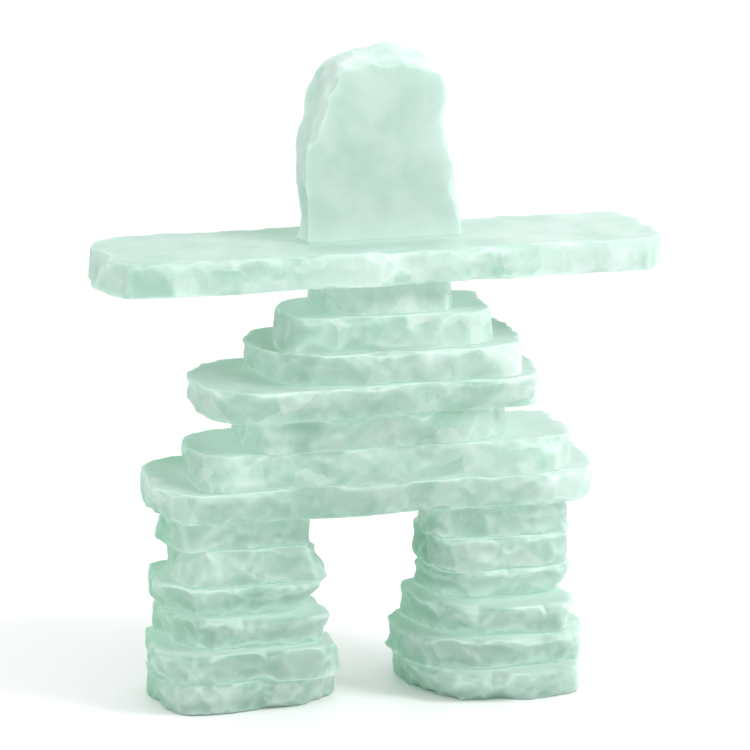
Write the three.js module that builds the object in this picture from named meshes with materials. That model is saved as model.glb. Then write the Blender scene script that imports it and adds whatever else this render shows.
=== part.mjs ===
// An inukshuk built up from slabs of frosted plate glass with knapped edges, bonded one on another.
// Millimetres, +Z up, the front towards -Y. Left and right are the viewer's.
// Each slab is a named mesh: it is sawn to an outline and flaked all round, and its two faces stay flat.
import * as THREE from "three";

// The plate that every slab is cut from, and the line of clear adhesive between two slabs.
const plate = 12;
const bond = 0.3;

// How the edges are knapped: half the usual width of a flake, its bite, and the way to the next one.
const flakeReach = 11;
const flakeBite = 3.4;
const flakePitch = 12;

// The faceting of an edge: the way between two corners round it, and the layers through the plate.
const facetPitch = 5.5;
const edgeLayers = 4;

// The legs' axes stand out to the left and right of the middle line, and the hips overhang them.
const leftLegOut = 46;
const rightLegOut = 48;
const leftHipOverhang = 38;
const rightHipOverhang = 40;

// The arms reach out from the middle line.
const leftArmReach = 102;
const rightArmReach = 115;

// The head stands on edge, this far behind the arms' front edge, and a little to the right.
const headSetBack = 27;
const headX = 9;

// The slabs of each stack, from the lowest up. A slab is sawn to its reach to the left, right, front
// and back of its stack's axis. Its corners are rounded and its edges dressed at a slope, both given
// as front left, front right, back right and back left. A slope is how far the top face stands in
// from the sawn outline; where it is below nothing, the underside stands in instead. The seed picks
// the run of flakes round the edge.
const leftLegSlabs = {
  left_leg_slab_1: {
    left: 35, right: 38, front: 26, back: 27,
    corners: [20, 36, 15, 19], slopes: [0, -6, 4, 0], seed: 23,
  },
  left_leg_slab_2: {
    left: 38, right: 33, front: 29, back: 23,
    corners: [22, 11, 13, 15], slopes: [-5, 2, 2, -1], seed: 16,
  },
  left_leg_slab_3: {
    left: 34, right: 30, front: 29, back: 20,
    corners: [27, 8, 24, 9], slopes: [-6, -8, 0, 0], seed: 56,
  },
  left_leg_slab_4: {
    left: 37, right: 28, front: 31, back: 26,
    corners: [29, 18, 24, 14], slopes: [-9, -12, 1, -3], seed: 23,
  },
  left_leg_slab_5: {
    left: 30, right: 27, front: 26, back: 21,
    corners: [14, 11, 14, 15], slopes: [7, 2, 1, 1], seed: 27,
  },
  left_leg_slab_6: {
    left: 33, right: 24, front: 20, back: 18,
    corners: [18, 8, 13, 14], slopes: [-1, 1, 0, 2], seed: 30,
  },
};

const rightLegSlabs = {
  right_leg_slab_1: {
    left: 34, right: 34, front: 40, back: 30,
    corners: [36, 24, 16, 20], slopes: [-8, -3, -1, 0], seed: 33,
  },
  right_leg_slab_2: {
    left: 37, right: 34, front: 36, back: 22,
    corners: [33, 14, 17, 16], slopes: [-2, -5, 2, 0], seed: 11,
  },
  right_leg_slab_3: {
    left: 32, right: 30, front: 38, back: 21,
    corners: [38, 12, 26, 16], slopes: [-8, -5, -1, 0], seed: 56,
  },
  right_leg_slab_4: {
    left: 28, right: 31, front: 30, back: 18,
    corners: [20, 14, 14, 18], slopes: [-8, -11, 3, 3], seed: 45,
  },
  right_leg_slab_5: {
    left: 28, right: 30, front: 29, back: 22,
    corners: [15, 16, 15, 18], slopes: [-1, -2, 0, -2], seed: 35,
  },
  right_leg_slab_6: {
    left: 27, right: 29, front: 26, back: 15,
    corners: [4, 11, 15, 18], slopes: [2, 1, 0, -1], seed: 25,
  },
};

const bodySlabs = {
  hip_slab: {
    left: leftLegOut + leftHipOverhang, right: rightLegOut + rightHipOverhang, front: 31, back: 39,
    corners: [20, 20, 24, 31], slopes: [-4, -2, 0, -2], seed: 10,
  },
  belly_slab: {
    left: 71, right: 80, front: 31, back: 24,
    corners: [15, 22, 8, 28], slopes: [7, 4, -2, 0], seed: 44,
  },
  waist_slab: {
    left: 48, right: 56, front: 26, back: 24,
    corners: [8, 29, 14, 16], slopes: [0, 0, 0, 1], seed: 44,
  },
  rib_slab: {
    left: 65, right: 67, front: 31, back: 38,
    corners: [26, 19, 25, 29], slopes: [-2, -6, 1, 3], seed: 39,
  },
  chest_slab: {
    left: 43, right: 59, front: 31, back: 32,
    corners: [33, 19, 19, 24], slopes: [-7, 0, 0, 1], seed: 21,
  },
  shoulder_slab: {
    left: 36, right: 49, front: 26, back: 23,
    corners: [13, 16, 16, 28], slopes: [5, -2, 0, 0], seed: 1,
  },
  neck_slab: {
    left: 18, right: 32, front: 19, back: 20,
    corners: [17, 4, 14, 10], slopes: [0, 0, 0, 0], seed: 38,
  },
  arms_slab: {
    left: leftArmReach, right: rightArmReach, front: 27, back: 33,
    corners: [13, 15, 17, 21], slopes: [4, 0, 2, 0], seed: 19,
  },
};

// The head's sawn outline seen from the front, over its base. It is an arch whose right side is
// hollowed, and its slopes are given as lower left, lower right, upper right and upper left.
const headOutline = [
  [32, 0],
  [31, 16],
  [29, 28],
  [27, 38],
  [26, 50],
  [27, 59],
  [21, 67],
  [9, 71],
  [-4, 72],
  [-14, 71],
  [-22, 65],
  [-27, 55],
  [-30, 43],
  [-33, 33],
  [-31, 18],
  [-32, 0],
];
const headSlopes = [2, 1, 3, 3];
const headSeed = 71;

// A repeatable stream of shares from 0 to 1.
function shareStream(seed) {
  const modulus = 2147483647;
  const step = 16807;
  let state = seed * 7919;
  return () => {
    state = (state * step) % modulus;
    return state / modulus;
  };
}

// A slab's sawn outline in plan: straight sides with a curve at each corner.
function planShape({ left, right, front, back, corners }) {
  const [frontLeft, frontRight, backRight, backLeft] = corners;
  const shape = new THREE.Shape();
  shape.moveTo(-left + frontLeft, -front);
  shape.lineTo(right - frontRight, -front);
  shape.quadraticCurveTo(right, -front, right, -front + frontRight);
  shape.lineTo(right, back - backRight);
  shape.quadraticCurveTo(right, back, right - backRight, back);
  shape.lineTo(-left + backLeft, back);
  shape.quadraticCurveTo(-left, back, -left, back - backLeft);
  shape.lineTo(-left, -front + frontLeft);
  shape.quadraticCurveTo(-left, -front, -left + frontLeft, -front);
  return shape;
}

// The head's outline: a smooth line up one side, over the top and down the other, closed by the base.
function headShape() {
  const points = headOutline.map(([x, height]) => new THREE.Vector2(x, height));
  const shape = new THREE.Shape();
  shape.moveTo(points[0].x, points[0].y);
  shape.splineThru(points.slice(1));
  shape.lineTo(points[0].x, points[0].y);
  return shape;
}

// Corners round a closed shape, spaced evenly along each line and curve of it, with the direction
// into the slab and the way along from the start.
function edgeCorners(shape) {
  const points = shape.curves.flatMap((curve) => {
    const count = Math.max(1, Math.round(curve.getLength() / facetPitch));
    return curve.getSpacedPoints(count).slice(0, count);
  });
  const count = points.length;
  let along = 0;
  return points.map((point, i) => {
    const before = points[(i + count - 1) % count];
    const after = points[(i + 1) % count];
    const tangent = after.clone().sub(before).normalize();
    along += i > 0 ? point.distanceTo(before) : 0;
    return { point, along, inward: new THREE.Vector2(-tangent.y, tangent.x) };
  });
}

// The flakes round an edge. Each was struck off one of the two faces: up is 0 or 1.
function flakesRound(perimeter, random) {
  const count = Math.round(perimeter / flakePitch);
  return Array.from({ length: count }, (_, i) => ({
    along: ((i + 0.7 * (random() - 0.5)) / count) * perimeter,
    up: Math.round(random()),
    reach: flakeReach * (0.8 + 0.5 * random()),
    bite: flakeBite * (0.5 + 0.5 * random()),
  }));
}

// The way between two places round a closed edge, the shorter way.
function wayBetween(a, b, perimeter) {
  const way = Math.abs(a - b) % perimeter;
  return Math.min(way, perimeter - way);
}

// What the flakes take off an edge at a way along it and a share of the way up it. A flake bites
// deepest at the face it was struck from and runs out to its sides and towards the other face.
function biteAt(flakes, perimeter, along, up) {
  const bites = flakes.map((flake) => {
    const aside = wayBetween(along, flake.along, perimeter) / flake.reach;
    return flake.bite * (1 - aside ** 2 - (up - flake.up) ** 2);
  });
  return Math.max(0, ...bites);
}

// A slab's slope at a point of its outline, shared out between the slopes of its four corners.
function slopeAt(point, bounds, [nearLeft, nearRight, farRight, farLeft]) {
  const { x: across, y: deep } = bounds.getParameter(point, new THREE.Vector2());
  const near = nearLeft * (1 - across) + nearRight * across;
  const far = farLeft * (1 - across) + farRight * across;
  return near * (1 - deep) + far * deep;
}

// A flat slab with a flaked edge: layers of corners through the plate, capped by its two flat faces.
// On a slab that stands on edge, the base is left as sawn.
function flakedSlab({ shape, slopes, seed, onEdge = false }) {
  const corners = edgeCorners(shape);
  const count = corners.length;
  const perimeter = shape.getLength();
  const flakes = flakesRound(perimeter, shareStream(seed));
  const bounds = new THREE.Box2().setFromPoints(corners.map(({ point }) => point));

  const layers = Array.from({ length: edgeLayers }, (_, layer) => {
    const up = layer / (edgeLayers - 1);
    return corners.map(({ point, along, inward }) => {
      const slope = slopeAt(point, bounds, slopes);
      const sloped = slope > 0 ? slope * up : -slope * (1 - up);
      const loss = sloped + biteAt(flakes, perimeter, along, up);
      const corner = point.clone().addScaledVector(inward, loss);
      return onEdge && point.y === 0 ? corner.setY(0) : corner;
    });
  });

  const height = (layer) => (plate * layer) / (edgeLayers - 1);
  const positions = layers.flatMap((ring, layer) => ring.flatMap(({ x, y }) => [x, y, height(layer)]));
  const faces = [];
  for (let layer = 0; layer < edgeLayers - 1; layer++) {
    for (let i = 0; i < count; i++) {
      const a = layer * count + i;
      const b = layer * count + ((i + 1) % count);
      faces.push([a, b, b + count], [a, b + count, a + count]);
    }
  }
  const top = (edgeLayers - 1) * count;
  for (const [a, b, c] of THREE.ShapeUtils.triangulateShape(layers[0], [])) {
    faces.push([a, c, b]);
  }
  for (const [a, b, c] of THREE.ShapeUtils.triangulateShape(layers[edgeLayers - 1], [])) {
    faces.push([top + a, top + b, top + c]);
  }

  const geometry = new THREE.BufferGeometry();
  geometry.setAttribute("position", new THREE.Float32BufferAttribute(positions, 3));
  geometry.setIndex(faces.flat());
  geometry.computeVertexNormals();
  return geometry;
}

// Float glass, sandblasted all over: milky, pale green, with no gloss.
const frostedGlass = { color: 0xbfe0d2, roughness: 0.55, metalness: 0 };

function slabMesh(name, geometry) {
  const mesh = new THREE.Mesh(geometry, new THREE.MeshStandardMaterial(frostedGlass));
  mesh.name = name;
  return mesh;
}

// The height of the face that the slab on a given course rests on.
const courseHeight = (course) => course * (plate + bond);

// A slab lying flat on a given course of the figure.
function flatSlab(name, slab, axisX, course) {
  const { slopes, seed } = slab;
  const geometry = flakedSlab({ shape: planShape(slab), slopes, seed });
  const mesh = slabMesh(name, geometry);
  mesh.position.set(axisX, 0, courseHeight(course));
  return mesh;
}

// Slabs stacked over one upright axis.
function stack(slabs, axisX, firstCourse) {
  return Object.entries(slabs).map(([name, slab], i) => flatSlab(name, slab, axisX, firstCourse + i));
}

// The head stands on the arms with its outline upright, its sloped face to the front.
function head(course) {
  const geometry = flakedSlab({ shape: headShape(), slopes: headSlopes, seed: headSeed, onEdge: true });
  geometry.rotateX(Math.PI / 2);
  const mesh = slabMesh("head_slab", geometry);
  const face = headSetBack - bodySlabs.arms_slab.front;
  mesh.position.set(headX, face + plate, courseHeight(course));
  return mesh;
}

function inukshuk() {
  const legCourses = Object.keys(leftLegSlabs).length;
  const bodyCourses = Object.keys(bodySlabs).length;
  const figure = new THREE.Group();
  figure.add(...stack(leftLegSlabs, -leftLegOut, 0), ...stack(rightLegSlabs, rightLegOut, 0));
  figure.add(...stack(bodySlabs, 0, legCourses), head(legCourses + bodyCourses));

  // The origin is on the ground, under the middle of the whole figure.
  const middle = new THREE.Box3().setFromObject(figure).getCenter(new THREE.Vector3());
  figure.position.set(-middle.x, -middle.y, 0);

  const part = new THREE.Group();
  part.add(figure);
  return part;
}

export default inukshuk();
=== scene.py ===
import math

import bpy
import numpy as np
from mathutils import Matrix, Vector
from mathutils.bvhtree import BVHTree
from mathutils.geometry import convex_hull_2d


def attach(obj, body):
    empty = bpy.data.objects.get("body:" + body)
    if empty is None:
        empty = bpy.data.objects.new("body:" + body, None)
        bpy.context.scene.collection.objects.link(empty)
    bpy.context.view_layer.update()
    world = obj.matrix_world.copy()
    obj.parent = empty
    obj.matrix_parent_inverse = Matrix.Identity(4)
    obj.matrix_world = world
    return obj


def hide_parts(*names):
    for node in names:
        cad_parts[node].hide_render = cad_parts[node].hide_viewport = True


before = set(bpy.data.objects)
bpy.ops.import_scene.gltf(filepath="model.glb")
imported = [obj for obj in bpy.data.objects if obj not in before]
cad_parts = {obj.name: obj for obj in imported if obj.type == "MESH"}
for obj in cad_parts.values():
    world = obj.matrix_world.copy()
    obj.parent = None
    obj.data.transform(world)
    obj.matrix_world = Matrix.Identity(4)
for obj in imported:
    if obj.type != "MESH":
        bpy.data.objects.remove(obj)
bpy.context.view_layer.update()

MM = 0.001
UP = np.array([0, 0, 1])

# Every slab is cut from one plate and bonded to the slab below. An edge is dressed no further in
# than its spine, a line that runs round inside the slab at half its thickness.
PLATE = 12 * MM
BOND = 0.3 * MM
SPINE = 14 * MM

# The head stands on edge, and the other slabs lie. A slab's own directions in the figure are
# across, along and out of its marked face.
HEAD = "head_slab"
LYING = np.array([[1, 0, 0], [0, 1, 0], [0, 0, 1]])
ON_EDGE = np.array([[1, 0, 0], [0, 0, 1], [0, -1, 0]])

# The surface of a slab is made in columns, side by side round its edge, and in rows, which run from
# the middle of the upper face out over the edge and in again below. The rows inside the spine are
# given as shares of the way out to it, and those between the spine and the arris as shares of the
# way in. The rows down the side crowd at the two arrises.
COLUMN = 0.8 * MM
MIDDLE_ROWS = np.array([0.06, 0.3, 0.55, 0.8])
FACE_ROWS = np.array([1, 0.62, 0.42, 0.3, 0.21, 0.14, 0.09, 0.05, 0.02])
SIDE_ROWS = 20
DOWN = (1 - np.cos(np.linspace(0, math.pi, SIDE_ROWS))) / 2
HEIGHT = PLATE * (0.5 - DOWN)
SIDE = slice(len(FACE_ROWS), len(FACE_ROWS) + SIDE_ROWS)

# The height up to which the solid's side is felt for, a little short of its two faces. A way that
# turns towards a plane by less than GLANCING is taken to miss it. No length is divided by less than
# SMALLEST.
NEAR_FACE = 0.49 * PLATE
GLANCING = 0.01
SMALLEST = 1e-12

# How often the sawn outline is smoothed, over how many columns to each side its direction is taken,
# and how finely it is followed where the light is traced.
TIMES_SMOOTHED = 12
COLUMNS_BESIDE = 3
OUTLINE_PITCH = 8 * MM

# The kinds of flake that a knapper strikes off, in mm and degrees: the way from one to the next
# round the edge, the radius of the hollow that each leaves, how deep it bites, how far it is turned
# off square, how pale the glass is under it, from -1 to 1, and whether it takes off the upper
# arris (1), the lower (-1) or the side between (0).
PANEL = {
    "pitch": 12, "radius": (60, 200), "bite": (0.8, 1.9), "turn": 14, "pale": (-1, 1), "arris": 0}
FACET = {
    "pitch": 7, "radius": (25, 80), "bite": (0.6, 1.8), "turn": 20, "pale": (-1, 1), "arris": 0}
SCALLOP = {
    "pitch": 14, "radius": (14, 34), "bite": (0.5, 1.3), "turn": 15, "pale": (-0.8, 0.8), "arris": 0}
CHIPS = {
    "pitch": 9, "radius": (6, 24), "bite": (0.5, 1.9), "turn": 20, "pale": (-0.2, 1), "arris": 1}
LOW_CHIPS = {
    "pitch": 11, "radius": (5, 16), "bite": (0.4, 1.5), "turn": 20, "pale": (-0.8, 0.5), "arris": -1}
# The flakes of the head's dressed band are painted paler, as painted light through its thin edge.
FACE_BAND = {
    "pitch": 6, "radius": (9, 24), "bite": (0.9, 2.0), "turn": 16, "pale": (0.2, 1), "arris": 1}

# A flake is struck within this share of its own stretch of the edge, and up to this share of the
# plate's thickness from half way up. It is drawn back this often to keep to its bite. The glass
# under it grows paler or greener by about so much over so long a way.
STRETCH = 0.9
OFF_MIDDLE = 0.6
DRAWN_BACK = 4
TONE_CHANGE = 0.3
TONE_WAY = 6 * MM

# Sandblasting rounds every edge off, the upper arris more than the lower one, and more here than
# there: the least and the most radius, and the way over which it changes.
ROUND = {1: (0.5 * MM, 2.2 * MM), -1: (0.5 * MM, 1.8 * MM)}
ROUND_WAY = 9 * MM

# The planes that round an arris, as shares of the turn from the side to the face, and the angle
# above which an edge is left crisp.
ROUND_PLANES = (0.2, 0.5, 0.8)
CRISP_ANGLE = math.radians(38)

# The sawn slab is a little larger all round than it is once its flakes are off. Its edge is uneven
# over such a way by such a height, and its corners are soft. The slabs of the legs are rougher than
# those of the body, and have softer corners.
SWELL = 0.7 * MM
UNEVEN = [(14 * MM, 0.6 * MM), (6 * MM, 0.6 * MM), (2.6 * MM, 0.32 * MM)]
ROUGHER = {"body": 1, "leg": 2}
SOFT_CORNER = {"body": 2.2 * MM, "leg": 5 * MM}

# Painted shade: a point is painted greener as more glass lies between it and the lamp, and dimmer,
# over a longer way, as more lies above it, as glass greens and dims the light that comes through it.
# It is reckoned from the side that the lamp is on, and from above, where most of the room's light
# comes from.
GREENING = 55 * MM
DIMMING = 200 * MM
LAMP_SIDE = np.array([0.5, -0.6, 0.62])
ABOVE = np.array([0.1, 0.3, 0.95])

# How far a point stands out of the surface round it on the crispest ridge.
CRISP_RIDGE = 0.12 * MM

# Tones run from -1, the greenest, to 1, the palest. This is how much of its own tone a flake keeps
# on the finished slab.
FLAKE_TONE = 0.65

# The head stands on edge in the light, so it takes only part of the painted green shade. Its
# dressed edge, and a little way above its base, are painted paler, as painted light.
HEAD_SHADE_SHARE = 0.5
PAINTED_LIGHT_EDGE = 0.8
PAINTED_LIGHT_BASE = 0.9
PAINTED_LIGHT_BASE_WAY = 11 * MM

# How much paler or greener the edge of a slab is than the others.
PALER = {
    "arms_slab": 0.35,
    "neck_slab": 0.3,
    "chest_slab": 0.3,
    "belly_slab": 0.2,
    "hip_slab": 0.15,
    "left_leg_slab_6": 0.25,
    "left_leg_slab_3": 0.3,
    "right_leg_slab_5": -0.3,
    "right_leg_slab_2": 0.3,
    "right_leg_slab_1": 0.2,
}

# The top of the arms is painted greener than their edge, as painted shade. Above the legs, painted
# light makes the glass paler to the right, so much to a metre.
TOP_PAINTED_SHADE = {"arms_slab": -0.5}
PAINTED_LIGHT_RIGHT = {"body": 3.5, "leg": 0}

# What was struck off each slab, the largest flakes first.
FLAKES = {
    "head_slab": [SCALLOP, FACE_BAND, LOW_CHIPS],
    "arms_slab": [PANEL, CHIPS, LOW_CHIPS],
    "neck_slab": [FACET, CHIPS],
    "shoulder_slab": [FACET, SCALLOP, CHIPS],
    "chest_slab": [FACET, SCALLOP, CHIPS],
    "rib_slab": [PANEL, CHIPS],
    "waist_slab": [FACET, SCALLOP, CHIPS],
    "belly_slab": [PANEL, FACET, CHIPS],
    "hip_slab": [PANEL, FACET, CHIPS, LOW_CHIPS],
}
LEG_FLAKES = [FACET, SCALLOP, CHIPS, LOW_CHIPS]

# The boldest flakes of the front: how far across and up the middle of the edge, in mm, how far
# turned and how far leaning back, in degrees, the radius and the bite, in mm, and how pale.
PLACED = {
    "arms_slab": [
        (-118, 0, 10, -8, 90, 2.8, -0.6),
        (-109, 1, -10, 10, 60, 2.6, 1),
        (-94, -1, 6, 8, 100, 2.6, -0.8),
        (-80, 0, -6, -4, 100, 2.4, -0.2),
        (-66, 1, -14, 12, 45, 2.6, 1),
        (-46, -1, 5, -8, 120, 2.4, 0.6),
        (-22, 1, -4, 6, 120, 2.2, 0.2),
        (6, -2, 4, -14, 80, 2.4, -0.8),
        (30, 3, -4, 25, 30, 1.6, -0.9),
        (46, 0, 8, 4, 100, 2.4, 0.9),
        (66, 1, -6, -6, 90, 2.2, 0.4),
        (84, -1, 8, 8, 90, 2.4, 1),
        (104, 1, -8, -5, 70, 2.6, 0.8),
        (0, 6, 0, 80, 40, 0.9, -1),
    ],
    "shoulder_slab": [
        (10, 3, 0, 25, 16, 2.4, 1),
        (-30, 0, 6, 0, 80, 2.4, -0.9),
        (38, 0, -6, 5, 70, 2.2, -0.5),
    ],
    "belly_slab": [
        (-73, -2, -14, -5, 30, 2.4, 1),
        (-58, 0, 8, 5, 70, 2.2, -0.5),
        (-40, 0, -8, -5, 60, 2.5, 0.9),
        (-22, 0, 6, 0, 60, 2.3, -0.9),
        (-4, 0, -8, -5, 60, 2.5, 1),
        (13, 0, 6, 5, 60, 2.3, -0.6),
        (31, 0, -8, 0, 60, 2.5, 0.9),
        (52, 0, 6, 5, 60, 2.3, -0.8),
    ],
    "left_leg_slab_5": [
        (-86, 2, 0, 15, 40, 2.2, 1),
        (-62, -1, 4, 0, 40, 2.2, -0.7),
        (-40, 0, 0, 0, 40, 2, -0.8),
    ],
    "left_leg_slab_4": [(-90, -3, 0, -25, 25, 2.6, -1), (-52, 2, 0, 10, 30, 2, -0.8)],
    "left_leg_slab_3": [(-92, -3, 0, -25, 22, 2.6, -1), (-60, 3, 0, 20, 20, 1.8, 0.9)],
    "left_leg_slab_2": [
        (-84, -1, 0, 0, 60, 2.4, -0.8),
        (-58, 0, 0, 0, 40, 2.2, -1),
        (-36, 0, 0, 0, 40, 2, 0.8),
    ],
    "right_leg_slab_6": [(24, 0, 6, 0, 40, 2.4, -0.5), (44, 1, -6, 0, 30, 2.2, 1)],
    "right_leg_slab_3": [(36, 0, 4, 0, 40, 2.4, -0.8), (54, 0, -4, 0, 30, 2.2, 0.9)],
    "right_leg_slab_1": [(16, -2, 0, -15, 50, 2.4, -1), (36, 2, 0, 10, 30, 2.2, 1)],
}


# Vectors drawn out or in to a length of one.
def unit(vectors):
    return vectors / np.linalg.norm(vectors, axis=1, keepdims=True)


# The solid in a node, turned so that its marked face is up: the slab's own directions, its corners,
# and its outline seen from above.
def sawn_slab(node):
    facing = ON_EDGE if node == HEAD else LYING
    corners = np.array([v.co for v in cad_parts[node].data.vertices]) @ facing.T
    outline = corners[convex_hull_2d([Vector(c[:2]) for c in corners])][:, :2]
    return facing, corners, outline


# A closed line of points spaced evenly, and smoothed so that it has no hard corner.
def spaced_ring(points, pitch, times_smoothed):
    loop = np.vstack([points, points[:1]])
    way = np.concatenate([[0], np.cumsum(np.linalg.norm(np.diff(loop, axis=0), axis=1))])
    at = np.linspace(0, way[-1], int(round(way[-1] / pitch)), endpoint=False)
    ring = np.column_stack([np.interp(at, way, loop[:, axis]) for axis in range(2)])
    for _ in range(times_smoothed):
        ring = (np.roll(ring, 1, axis=0) + 2 * ring + np.roll(ring, -1, axis=0)) / 4
    return ring


# The columns round an edge: where each starts on the spine, its level way out, and the way square
# to the edge there.
def edge_columns(outline):
    ring = spaced_ring(outline, COLUMN, TIMES_SMOOTHED)
    low, high = outline.min(axis=0), outline.max(axis=0)
    centre, half = (low + high) / 2, (high - low) / 2
    spine = centre + (ring - centre) * (1 - SPINE / half)
    outward = unit(ring - spine)
    ahead, behind = np.roll(ring, -COLUMNS_BESIDE, axis=0), np.roll(ring, COLUMNS_BESIDE, axis=0)
    tangent = unit(ahead - behind)
    nought = np.zeros(len(ring))
    starts = np.column_stack([spine, nought])
    level = np.column_stack([outward, nought])
    square = np.column_stack([tangent[:, 1], -tangent[:, 0], nought])
    square *= np.sign(np.einsum("ck,ck->c", square, level).mean())
    return centre, starts, level, square


# How far the solid reaches from each start, level and outwards.
def reach(solid, starts, directions):
    far = np.empty(len(starts))
    for i, (start, direction) in enumerate(zip(starts, directions)):
        hit = solid.ray_cast(Vector(start), Vector(direction))
        far[i] = hit[3] if hit[0] is not None else far[i - 1]
    return far


# Softens values that run round a ring of columns, over about the given way.
def softened(values, way):
    shift = int(3 * way / COLUMN) + 1
    steps = np.arange(-shift, shift + 1)
    weights = np.exp(-((steps * COLUMN / way) ** 2) / 2)
    weights /= weights.sum()
    return sum(np.roll(values, step, axis=0) * weight for step, weight in zip(steps, weights))


# Evens out values over the columns and rows round them.
def evened(values):
    values = (np.roll(values, 1, axis=0) + 2 * values + np.roll(values, -1, axis=0)) / 4
    padded = np.pad(values, ((0, 0), (1, 1)), mode="edge")
    return (padded[:, :-2] + 2 * values + padded[:, 2:]) / 4


# Shares from 0 to 1 round a ring of columns, which change by chance over about the given way.
def chance_round(columns, way, rng):
    count = max(4, int(columns * COLUMN / way))
    values = rng.random(count)
    at = np.arange(columns) / columns * count
    first = at.astype(int)
    ease = at - first
    return values[first % count] * (1 - ease) + values[(first + 1) % count] * ease


# How uneven the side of a slab is, which differs from its upper to its lower arris.
def unevenness(columns, rough, rng):
    total = np.zeros((columns, SIDE_ROWS))
    for way, height in UNEVEN:
        count = int(PLATE / way) + 2
        bands = np.array([chance_round(columns, way, rng) - 0.5 for _ in range(count)])
        at = DOWN * (count - 1)
        first = np.minimum(at.astype(int), count - 2)
        ease = (1 - np.cos((at - first) * math.pi)) / 2
        total += 2 * height * rough * (bands[first].T * (1 - ease) + bands[first + 1].T * ease)
    return total


# The hollow that one flake leaves, as a ball that is cut out of the slab, and where it was struck.
# The ball is drawn back until nothing near it is cut deeper than its bite.
def struck_flake(side, square, column, up, yaw, lean, radius, bite):
    struck = side[column, np.abs(HEIGHT - up).argmin()]
    x, y, _ = square[column]
    turned = np.array([
        x * math.cos(yaw) - y * math.sin(yaw), x * math.sin(yaw) + y * math.cos(yaw), 0])
    out = turned * math.cos(lean) + np.array([0, 0, math.sin(lean)])
    centre = struck + out * (radius - bite)
    for _ in range(DRAWN_BACK):
        deepest = radius - np.linalg.norm(side.reshape(-1, 3) - centre, axis=1).min()
        centre = centre + out * (deepest - bite)
    return centre, struck


# The flakes of one kind, struck all round an edge. A sawn base is left flat.
def struck_round(side, square, dressed, kind, rng):
    columns = len(side)
    count = int(columns * COLUMN / MM / kind["pitch"])
    flakes = []
    for i in range(count):
        column = int((i + STRETCH * rng.random()) / count * columns) % columns
        up = rng.uniform(-OFF_MIDDLE, OFF_MIDDLE) * PLATE
        yaw, lean = np.radians(kind["turn"]) * rng.uniform(-1, 1, 2)
        if kind["arris"]:
            up = kind["arris"] * PLATE / 2
            lean += kind["arris"] * math.pi / 4
        radius = rng.uniform(*kind["radius"]) * MM
        bite = rng.uniform(*kind["bite"]) * MM
        tone = rng.uniform(*kind["pale"])
        change = rng.normal(size=3) * TONE_CHANGE / TONE_WAY
        if dressed[column] == 1:
            centre, struck = struck_flake(side, square, column, up, yaw, lean, radius, bite)
            flakes.append((centre, radius, tone, change, struck))
    return flakes


# The flakes struck at known places along the front. A column that doesn't face the front counts as
# a metre further off, so it is never the nearest.
def struck_in_front(side, square, places):
    flakes = []
    behind = square[:, 1] > -0.5
    for x, up, yaw, lean, radius, bite, tone in places:
        column = (np.abs(side[:, 0, 0] - x * MM) + behind).argmin()
        centre, struck = struck_flake(
            side, square, column, up * MM, math.radians(yaw), math.radians(lean),
            radius * MM, bite * MM)
        flakes.append((centre, radius * MM, tone, np.zeros(3), struck))
    return flakes


# Cuts the flakes out of the surface: from the spine, the surface is never past a flake's hollow.
def cut_flakes(far, tones, spines, directions, flakes):
    for centre, radius, tone, change, struck in flakes:
        near = np.linalg.norm(spines[:, 0] - centre, axis=1) < radius + 2 * SPINE
        away = spines[near] - centre
        half = np.einsum("crk,crk->cr", directions[near], away)
        inside = half**2 - np.einsum("crk,crk->cr", away, away) + radius**2
        entry = -half - np.sqrt(np.maximum(inside, 0))
        cuts = (inside > 0) & (entry > 0) & (entry < far[near])
        far[near] = np.where(cuts, entry, far[near])
        way = spines[near] + directions[near] * entry[..., None] - struck
        tones[near] = np.where(cuts, np.clip(tone + way @ change, -1, 1), tones[near])


# The surface of a sawn slab whose side reaches so far out from the spine at each height.
def sawn_surface(starts, level, out):
    face = np.full(len(FACE_ROWS), PLATE / 2)
    over = [out[:, :1] * (1 - FACE_ROWS), out, out[:, -1:] * (1 - FACE_ROWS[::-1])]
    surface = starts[:, None] + level[:, None] * np.concatenate(over, axis=1)[..., None]
    return surface + np.concatenate([face, HEIGHT, -face])[:, None] * UP


# The middle of the upper face, inside the spine.
def face_middle(centre, starts):
    inside = centre + (starts[:, :2] - centre) * MIDDLE_ROWS[:, None, None]
    return np.dstack([inside, np.full(inside.shape[:2], PLATE / 2)]).transpose(1, 0, 2)


# Rounds the arrises off by planes, turned between the slope of the side and the face.
def rounded_off(far, directions, level, out, wear, rng):
    along = np.einsum("crk,ck->cr", directions, level)
    lean = np.arctan((out[:, -1] - out[:, 0]) / PLATE)
    for face, edge in ((1, out[:, 0]), (-1, out[:, -1])):
        least, most = ROUND[face]
        radius = (least + (most - least) * chance_round(len(far), ROUND_WAY, rng) ** 2) * wear
        slope = face * lean
        for share in ROUND_PLANES:
            tilt = slope + (math.pi / 2 - slope) * share
            flat, steep = np.cos(tilt), np.sin(tilt)
            loss = radius * (flat * (1 - np.sin(slope)) / np.cos(slope) + steep - 1)
            limit = edge * flat + PLATE / 2 * steep - loss
            slant = along * flat[:, None] + face * directions[..., 2] * steep[:, None]
            far = np.minimum(far, limit[:, None] / np.maximum(slant, GLANCING))
    return far


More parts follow.
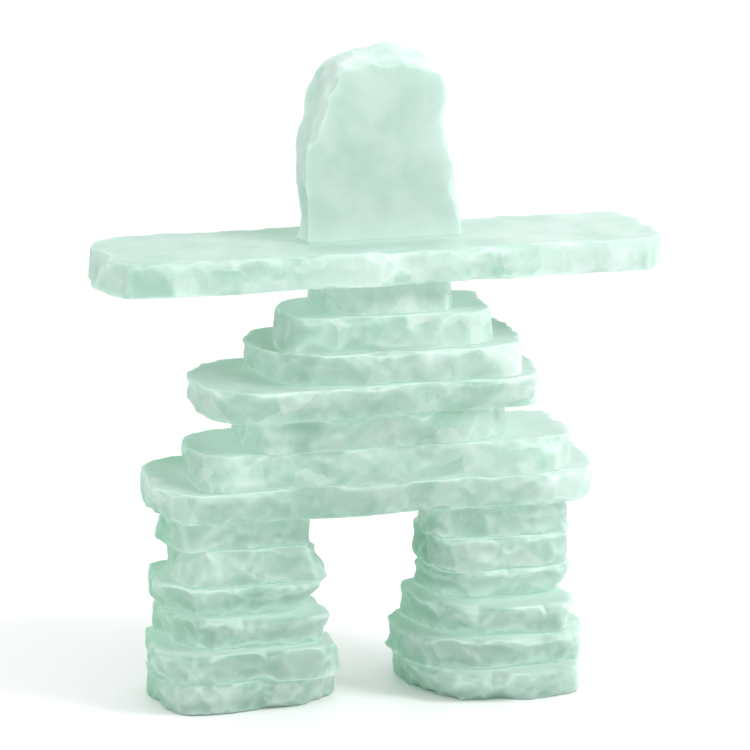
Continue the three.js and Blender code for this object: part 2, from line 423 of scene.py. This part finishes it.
# How sharply the surface stands out at each point: 0 where it is flat or hollow, 1 on a crisp ridge.
def ridge_share(surface):
    before, after = np.roll(surface, 1, axis=0), np.roll(surface, -1, axis=0)
    upper = np.concatenate([surface[:, :1], surface[:, :-1]], axis=1)
    lower = np.concatenate([surface[:, 1:], surface[:, -1:]], axis=1)
    normal = np.cross(after - before, lower - upper)
    normal /= np.maximum(np.linalg.norm(normal, axis=2, keepdims=True), SMALLEST)
    out = surface - surface.mean(axis=(0, 1))
    normal *= np.sign(np.einsum("crk,crk->cr", normal, out))[..., None]
    hump = surface - (before + after + upper + lower) / 4
    return np.clip(np.einsum("crk,crk->cr", hump, normal) / CRISP_RIDGE, 0, 1)


# The flat sides of the solid in a node, as directions and how far out each lies.
def sawn_sides(node):
    facing, corners, outline = sawn_slab(node)
    ring = spaced_ring(outline, OUTLINE_PITCH, 0)
    edges = np.roll(ring, -1, axis=0) - ring
    outward = unit(np.column_stack([edges[:, 1], -edges[:, 0], np.zeros(len(edges))]))
    outward *= np.sign(np.einsum("ck,ck->c", outward[:, :2], ring - ring.mean(axis=0)))[:, None]
    reaches = np.einsum("ck,ck->c", outward[:, :2], ring)
    reaches = np.append(reaches, [corners[:, 2].max(), -corners[:, 2].min()])
    return np.vstack([outward, UP, -UP]) @ facing, reaches


SAWN = [sawn_sides(node) for node in sorted(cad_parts)]


# How much glass lies between each point and the light, along the way that the light comes from.
def glass_before(points, light):
    through = np.zeros(len(points))
    beam = light / np.linalg.norm(light)
    for sides, reaches in SAWN:
        before = reaches[:, None] - sides @ points.T
        pace = sides @ beam
        out, into = pace > GLANCING, pace < -GLANCING
        leaves = (before[out] / pace[out, None]).min(axis=0)
        enters = (before[into] / pace[into, None]).max(axis=0)
        through += np.maximum(leaves - np.maximum(enters, 0), 0)
    return through


# One closed mesh from a surface of columns and rows, back in its place in the figure. Its points
# carry the shares that the material reads.
def slab_mesh(node, surface, facing, middle, shares):
    columns, rows, _ = surface.shape
    points = (surface.reshape(-1, 3) + [0, 0, middle]) @ facing
    grid = np.arange(columns * rows).reshape(columns, rows)
    after = np.roll(grid, -1, axis=0)
    quads = np.stack([grid[:, :-1], grid[:, 1:], after[:, 1:], after[:, :-1]], axis=2).reshape(-1, 4)
    faces = quads.tolist() + [grid[:, 0].tolist(), grid[::-1, -1].tolist()]
    mesh = bpy.data.meshes.new(node)
    mesh.from_pydata(points.tolist(), [], faces)
    # Painted shade: greener where glass lies between a point and the lamp, dimmer where glass lies
    # above.
    shares["green"] = 1 - np.exp(-glass_before(points, LAMP_SIDE) / GREENING)
    shares["green"] *= HEAD_SHADE_SHARE if node == HEAD else 1
    shares["under"] = 1 - np.exp(-glass_before(points, ABOVE) / DIMMING)
    for name, values in shares.items():
        mesh.attributes.new(name, "FLOAT", "POINT").data.foreach_set("value", values.ravel())
    mesh.shade_smooth()
    mesh.set_sharp_from_angle(angle=CRISP_ANGLE)
    return mesh


# One slab, sawn, knapped and sandblasted, in the place of its solid.
def knapped_slab(node, kinds, seed):
    rng = np.random.default_rng(seed)
    part = "leg" if "_leg_" in node else "body"
    facing, corners, outline = sawn_slab(node)
    middle = (corners[:, 2].min() + corners[:, 2].max()) / 2
    corners[:, 2] -= middle
    polygons = [p.vertices[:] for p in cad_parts[node].data.polygons]
    solid = BVHTree.FromPolygons(corners.tolist(), polygons)
    centre, starts, level, square = edge_columns(outline)
    columns = len(starts)

    # The head stands on a sawn edge, which is neither dressed nor swollen. It fills its bond.
    dressed = np.clip(1 + 2 * square[:, 1], 0, 1) if node == HEAD else np.ones(columns)
    heights = np.clip(HEIGHT, -NEAR_FACE, NEAR_FACE)
    out = np.column_stack([reach(solid, starts + UP * height, level) for height in heights])
    grown = softened(out, SOFT_CORNER[part]) + SWELL + unevenness(columns, ROUGHER[part], rng)
    out = (out + BOND) * (1 - dressed[:, None]) + grown * dressed[:, None]

    # The sawn surface, and how far each of its points is from the spine, and which way.
    surface = sawn_surface(starts, level, out)
    side = surface[:, SIDE]
    spines = np.repeat(starts[:, None], surface.shape[1], axis=1)
    far = np.linalg.norm(surface - spines, axis=2)
    directions = (surface - spines) / far[..., None]

    # The flakes, and the tones that they leave.
    tones = np.zeros(far.shape)
    for kind in kinds:
        cut_flakes(far, tones, spines, directions, struck_round(side, square, dressed, kind, rng))
    placed = struck_in_front(side, square, PLACED.get(node, []))
    cut_flakes(far, tones, spines, directions, placed)
    tones *= FLAKE_TONE
    # The head's dressed edge is painted paler, as painted light.
    tones[:, SIDE] += PAINTED_LIGHT_EDGE * dressed[:, None] * (node == HEAD) + PALER.get(node, 0)
    tones = evened(tones)
    edges = np.zeros(far.shape)
    edges[:, SIDE] = dressed[:, None]

    # Sandblasting evens out what is dressed and rounds the arrises.
    far[:, SIDE] += (evened(far[:, SIDE]) - far[:, SIDE]) * dressed[:, None]
    far = rounded_off(far, directions, level, out, dressed * ROUGHER[part], rng)
    surface = spines + directions * far[..., None]
    ridges = evened(ridge_share(surface))
    # Painted shade on the top of the arms, and painted light growing to the right above the legs.
    tones[:, : len(FACE_ROWS)] += TOP_PAINTED_SHADE.get(node, 0)
    tones += PAINTED_LIGHT_RIGHT[part] * surface[..., 0]

    # A slab that lies on another fills its bond. The two feet stand on the floor.
    if node != HEAD and middle > PLATE:
        surface[..., 2] -= BOND * (surface[..., 2] < -NEAR_FACE)

    # With the middle of the upper face, the surface is whole.
    surface = np.concatenate([face_middle(centre, starts), surface], axis=1)
    more = ((0, 0), (len(MIDDLE_ROWS), 0))
    ridges, tones, edges = np.pad(ridges, more), np.pad(tones, more, mode="edge"), np.pad(edges, more)
    # The head is painted paler a little way above its base, as painted light.
    if node == HEAD:
        base = outline[:, 1].min()
        tones += PAINTED_LIGHT_BASE * np.exp((base - surface[..., 1]) / PAINTED_LIGHT_BASE_WAY)

    mesh = slab_mesh(node, surface, facing, middle, {"ridge": ridges, "tone": tones, "side": edges})
    piece = bpy.data.objects.new(f"{node}_knapped", mesh)
    bpy.context.scene.collection.objects.link(piece)
    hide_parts(node)
    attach(piece, "root")
    return piece


# Colours are given as sRGB hex values and used as linear light.
def linear(hex_colour):
    shares = [int(hex_colour[i : i + 2], 16) / 255 for i in (1, 3, 5)]
    return [*(s / 12.92 if s <= 0.04045 else ((s + 0.055) / 1.055) ** 2.4 for s in shares), 1]


# Adds a node with its settings, and links or sets its inputs.
def add(tree, kind, inputs=None, **settings):
    node = tree.nodes.new(kind)
    for name, value in settings.items():
        setattr(node, name, value)
    for name, value in (inputs or {}).items():
        if isinstance(value, bpy.types.NodeSocket):
            tree.links.new(value, node.inputs[name])
        else:
            node.inputs[name].default_value = value
    return node


# Where a Map Range of three values has its ends among its inputs.
FROM_LOW, FROM_HIGH, TO_LOW, TO_HIGH = 7, 8, 9, 10

# The size of one feature of each pattern: the faint clouds in the glass, and the facets that the
# knapper's blows leave on a dressed edge, large ones with small ones on them. The pits of the sand
# are 0.1 to 0.2 mm across, which is too fine to show in the render, so they are drawn as coarse as
# two of its pixels.
CLOUD = 16.667 * MM
LARGE_FACET = 12.5 * MM
SMALL_FACET = 4.762 * MM
SAND_PIT = 0.7143 * MM
PIT_DEPTH = 0.2 * MM

# How far the edges of the facets are bent, how much paler or greener a facet grows across it, and
# how much the small facets and all of them together count.
FACET_BEND = 0.7
FACET_SLOPE = 1.6
SMALL_SHARE = 0.5
FACET_TONE = 1.05

# The colours of the glass: in its greener and its paler clouds; the painted shade where much glass
# lies before the lamp; the painted light where it is enclosed by other slabs; and on the ridges,
# whitened by the sand and with a painted highlight.
GREEN_CLOUD = "#adcbbf"
PALE_CLOUD = "#c5dcd3"
LAMP_SHADE_GREEN = "#66be92"
JOINT_PAINTED_LIGHT = "#bcd1c9"
RIDGE_SAND_AND_HIGHLIGHT = "#eefaf5"

# How much of the painted deep green shade and of the ridges' sand and painted highlight shows at
# most.
LAMP_SHADE_SHARE = 0.9
RIDGE_HIGHLIGHT_SHARE = 0.28

# What the red, green and blue are multiplied by where no glass lies above and where much does, as
# painted shade, and at the greenest tone and the palest.
OPEN_ABOVE, SHADE_BELOW = (1.034, 0.99, 1.009), (0.42, 0.49, 0.455)
GREENEST, PALEST = (0.84, 0.92, 0.88), (1.25, 1.12, 1.17)

# Real glass carries light into a narrow joint through the bond and the slabs on both sides of it,
# further than the render's scattering does. A faint light of the glass's own stands for it. It
# grows as other glass shuts the sky out, from OPEN_SKY to SHUT_SKY within JOINT_WAY, and fades
# towards the floor, which carries none.
JOINT_LIGHT = "#b9d5c9"
JOINT_STRENGTH = 0.29
JOINT_WAY = 24 * MM
OPEN_SKY, SHUT_SKY = 0.8, 0.2
FLOOR_WAY = 12 * MM


# Facets of one size with crisp, slightly bent edges. A facet's colour by chance, about zero, gives
# it a tone of its own and the way in which it runs from paler to greener.
def facets(tree, place, size):
    warp = add(tree, "ShaderNodeTexNoise", {"Vector": place, "Scale": 1 / size, "Detail": 2})
    bent = add(tree, "ShaderNodeVectorMath", {
        0: warp.outputs["Color"], 1: (FACET_BEND * size,) * 3, 2: place},
        operation="MULTIPLY_ADD").outputs["Vector"]
    cells = add(tree, "ShaderNodeTexVoronoi", {"Vector": bent, "Scale": 1 / size})
    away = add(tree, "ShaderNodeVectorMath", {
        0: bent, 1: cells.outputs["Position"]}, operation="SUBTRACT")
    lean = add(tree, "ShaderNodeVectorMath", {
        0: cells.outputs["Color"], 1: (0.5, 0.5, 0.5)}, operation="SUBTRACT").outputs["Vector"]
    slope = add(tree, "ShaderNodeVectorMath", {
        0: away.outputs["Vector"], 1: lean}, operation="DOT_PRODUCT")
    own = add(tree, "ShaderNodeVectorMath", {0: lean, 1: (1, 0, 0)}, operation="DOT_PRODUCT")
    return add(tree, "ShaderNodeMath", {
        0: slope.outputs["Value"], 1: FACET_SLOPE / size, 2: own.outputs["Value"]},
        operation="MULTIPLY_ADD").outputs["Value"]


# Float glass, sandblasted all over. Light goes in and is scattered back out, so the body looks
# milky, and the iron in the glass tints it pale green where it is thick; painted shade and light are
# laid on its colour as well.
def sandblasted_float_glass():
    material = bpy.data.materials.new("sandblasted_float_glass")
    material.use_nodes = True
    tree = material.node_tree
    tree.nodes.clear()
    place = add(tree, "ShaderNodeTexCoord").outputs["Object"]
    ridge, tone, side, green, under = (
        add(tree, "ShaderNodeAttribute", attribute_name=name)
        for name in ("ridge", "tone", "side", "green", "under"))

    # The milky body, with painted shade: dimmer where more glass lies above it and greener where more
    # lies before it, towards the lamp.
    clouds = add(tree, "ShaderNodeTexNoise", {
        "Vector": place, "Scale": 1 / CLOUD, "Detail": 3, "Roughness": 0.55})
    cloudy = add(tree, "ShaderNodeMapRange", {
        "Value": clouds.outputs["Fac"], "From Min": 0.3, "From Max": 0.7})
    body = add(tree, "ShaderNodeMix", {
        "Factor": cloudy.outputs["Result"], "A": linear(GREEN_CLOUD), "B": linear(PALE_CLOUD)},
        data_type="RGBA")
    painted_dimming = add(tree, "ShaderNodeMapRange", {
        "Vector": under.outputs["Vector"], TO_LOW: OPEN_ABOVE, TO_HIGH: SHADE_BELOW},
        data_type="FLOAT_VECTOR")
    shade_dimmed = add(tree, "ShaderNodeVectorMath", {
        0: body.outputs["Result"], 1: painted_dimming.outputs["Vector"]}, operation="MULTIPLY")
    greener = add(tree, "ShaderNodeMath", {
        0: green.outputs["Fac"], 1: LAMP_SHADE_SHARE}, operation="MULTIPLY")
    lamp_shaded = add(tree, "ShaderNodeMix", {
        "Factor": greener.outputs["Value"], "A": shade_dimmed.outputs["Vector"], "B": linear(LAMP_SHADE_GREEN)},
        data_type="RGBA")

    # The joints, where the glass is enclosed by other slabs: painted light, which sets a lighter
    # colour of its own there and gives the glass a faint glow.
    sky = add(tree, "ShaderNodeAmbientOcclusion", {"Distance": JOINT_WAY}, samples=4)
    shut = add(tree, "ShaderNodeMapRange", {
        "Value": sky.outputs["AO"], "From Min": OPEN_SKY, "From Max": SHUT_SKY})
    height = add(tree, "ShaderNodeSeparateXYZ", {"Vector": place}).outputs["Z"]
    above = add(tree, "ShaderNodeMapRange", {"Value": height, "From Min": 0, "From Max": FLOOR_WAY})
    painted_light_share = add(tree, "ShaderNodeMath", {
        0: shut.outputs["Result"], 1: above.outputs["Result"]}, operation="MULTIPLY")
    joint_painted = add(tree, "ShaderNodeMix", {
        "Factor": painted_light_share.outputs["Value"], "A": lamp_shaded.outputs["Result"], "B": linear(JOINT_PAINTED_LIGHT)},
        data_type="RGBA")
    glow = add(tree, "ShaderNodeMath", {
        0: painted_light_share.outputs["Value"], 1: JOINT_STRENGTH}, operation="MULTIPLY")

    # The tones of the flakes, and of the facets on the dressed edges. The slabs' tones also carry
    # painted
    # light and shade: the paler edge and base of the head, the greener top of the arms and the paler
    # right of the body.
    large, small = facets(tree, place, LARGE_FACET), facets(tree, place, SMALL_FACET)
    both = add(tree, "ShaderNodeMath", {
        0: small, 1: SMALL_SHARE, 2: large}, operation="MULTIPLY_ADD")
    facet = add(tree, "ShaderNodeMath", {
        0: both.outputs["Value"], 1: side.outputs["Fac"]}, operation="MULTIPLY")
    whole = add(tree, "ShaderNodeMath", {
        0: facet.outputs["Value"], 1: FACET_TONE, 2: tone.outputs["Fac"]},
        operation="MULTIPLY_ADD")
    shade = add(tree, "ShaderNodeMapRange", {
        "Vector": whole.outputs["Value"], FROM_LOW: (-1, -1, -1), FROM_HIGH: (1, 1, 1),
        TO_LOW: GREENEST, TO_HIGH: PALEST}, data_type="FLOAT_VECTOR")
    toned = add(tree, "ShaderNodeVectorMath", {
        0: joint_painted.outputs["Result"], 1: shade.outputs["Vector"]}, operation="MULTIPLY")

    # The crests between the flakes, whitened by the sand and lit by a painted highlight.
    crest_sand_and_highlight = add(tree, "ShaderNodeMath", {
        0: ridge.outputs["Fac"], 1: RIDGE_HIGHLIGHT_SHARE}, operation="MULTIPLY")
    colour = add(tree, "ShaderNodeMix", {
        "Factor": crest_sand_and_highlight.outputs["Value"], "A": toned.outputs["Vector"], "B": linear(RIDGE_SAND_AND_HIGHLIGHT)},
        data_type="RGBA")

    pits = add(tree, "ShaderNodeTexNoise", {"Vector": place, "Scale": 1 / SAND_PIT, "Detail": 2})
    bump = add(tree, "ShaderNodeBump", {
        "Height": pits.outputs["Fac"], "Strength": 0.12, "Distance": PIT_DEPTH})
    shader = add(tree, "ShaderNodeBsdfPrincipled", {
        "Base Color": colour.outputs["Result"],
        "Roughness": 0.55,
        "IOR": 1.52,
        "Subsurface Weight": 1,
        "Subsurface Radius": (0.7, 1, 0.85),
        "Subsurface Scale": 4.5 * MM,
        "Transmission Weight": 0.2,
        "Emission Color": linear(JOINT_LIGHT),
        "Emission Strength": glow.outputs["Value"],
        "Normal": bump.outputs["Normal"],
    })
    add(tree, "ShaderNodeOutputMaterial", {"Surface": shader.outputs["BSDF"]})
    return material


# Matt white card, which shows a soft shadow and sends soft light up under the slabs.
def white_card():
    material = bpy.data.materials.new("white_card")
    material.use_nodes = True
    shader = material.node_tree.nodes["Principled BSDF"]
    shader.inputs["Base Color"].default_value = linear("#f3f3f3")
    shader.inputs["Roughness"].default_value = 0.5
    return material


# A pale floor under soft, even light, with a broad lamp above on the right.
def studio():
    mesh = bpy.data.meshes.new("floor")
    away = 6
    corners = [(-away, -away, 0), (away, -away, 0), (away, away, 0), (-away, away, 0)]
    mesh.from_pydata(corners, [], [(0, 1, 2, 3)])
    floor = bpy.data.objects.new("floor", mesh)
    bpy.context.scene.collection.objects.link(floor)
    mesh.materials.append(white_card())

    world = bpy.data.worlds.new("white_room")
    world.use_nodes = True
    background = world.node_tree.nodes["Background"]
    background.inputs["Color"].default_value = linear("#ffffff")
    background.inputs["Strength"].default_value = 1.12
    bpy.context.scene.world = world

    lamp = bpy.data.lights.new("key", "AREA")
    lamp.shape = "DISK"
    lamp.size = 0.5
    lamp.energy = 9
    key = bpy.data.objects.new("key", lamp)
    key.location = (0.8, -0.6, 0.9)
    figure = Vector((0, 0, 0.12))
    key.rotation_euler = (figure - key.location).to_track_quat("-Z", "Y").to_euler()
    bpy.context.scene.collection.objects.link(key)


# The camera stands far off, a little above the figure and a little to its left. It looks at the
# point that is in the middle of the picture.
def camera():
    azimuth, elevation = math.radians(-15.9), math.radians(12.8)
    distance = 2.2
    frame_pixels, pixels_per_mm = 750, 2.7
    level = math.cos(elevation)
    back = Vector((math.sin(azimuth) * level, -math.cos(azimuth) * level, math.sin(elevation)))
    right = Vector((math.cos(azimuth), math.sin(azimuth), 0))
    up = back.cross(right)
    data = bpy.data.cameras.new("camera")
    data.sensor_width = 36
    data.lens = data.sensor_width * pixels_per_mm / MM * distance / frame_pixels
    data.clip_end = 100
    seen = bpy.data.objects.new("camera", data)
    aim = Vector((-6.7, -17.5, 123)) * MM + up * 1.5 * MM
    turn = Matrix((right, up, back)).transposed().to_4x4()
    seen.matrix_world = Matrix.Translation(aim + back * distance) @ turn
    bpy.context.scene.collection.objects.link(seen)
    bpy.context.scene.camera = seen


glass = sandblasted_float_glass()
for seed, node in enumerate(sorted(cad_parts)):
    knapped_slab(node, FLAKES.get(node, LEG_FLAKES), seed).data.materials.append(glass)
studio()
camera()
bpy.context.scene.view_settings.view_transform = "Standard"
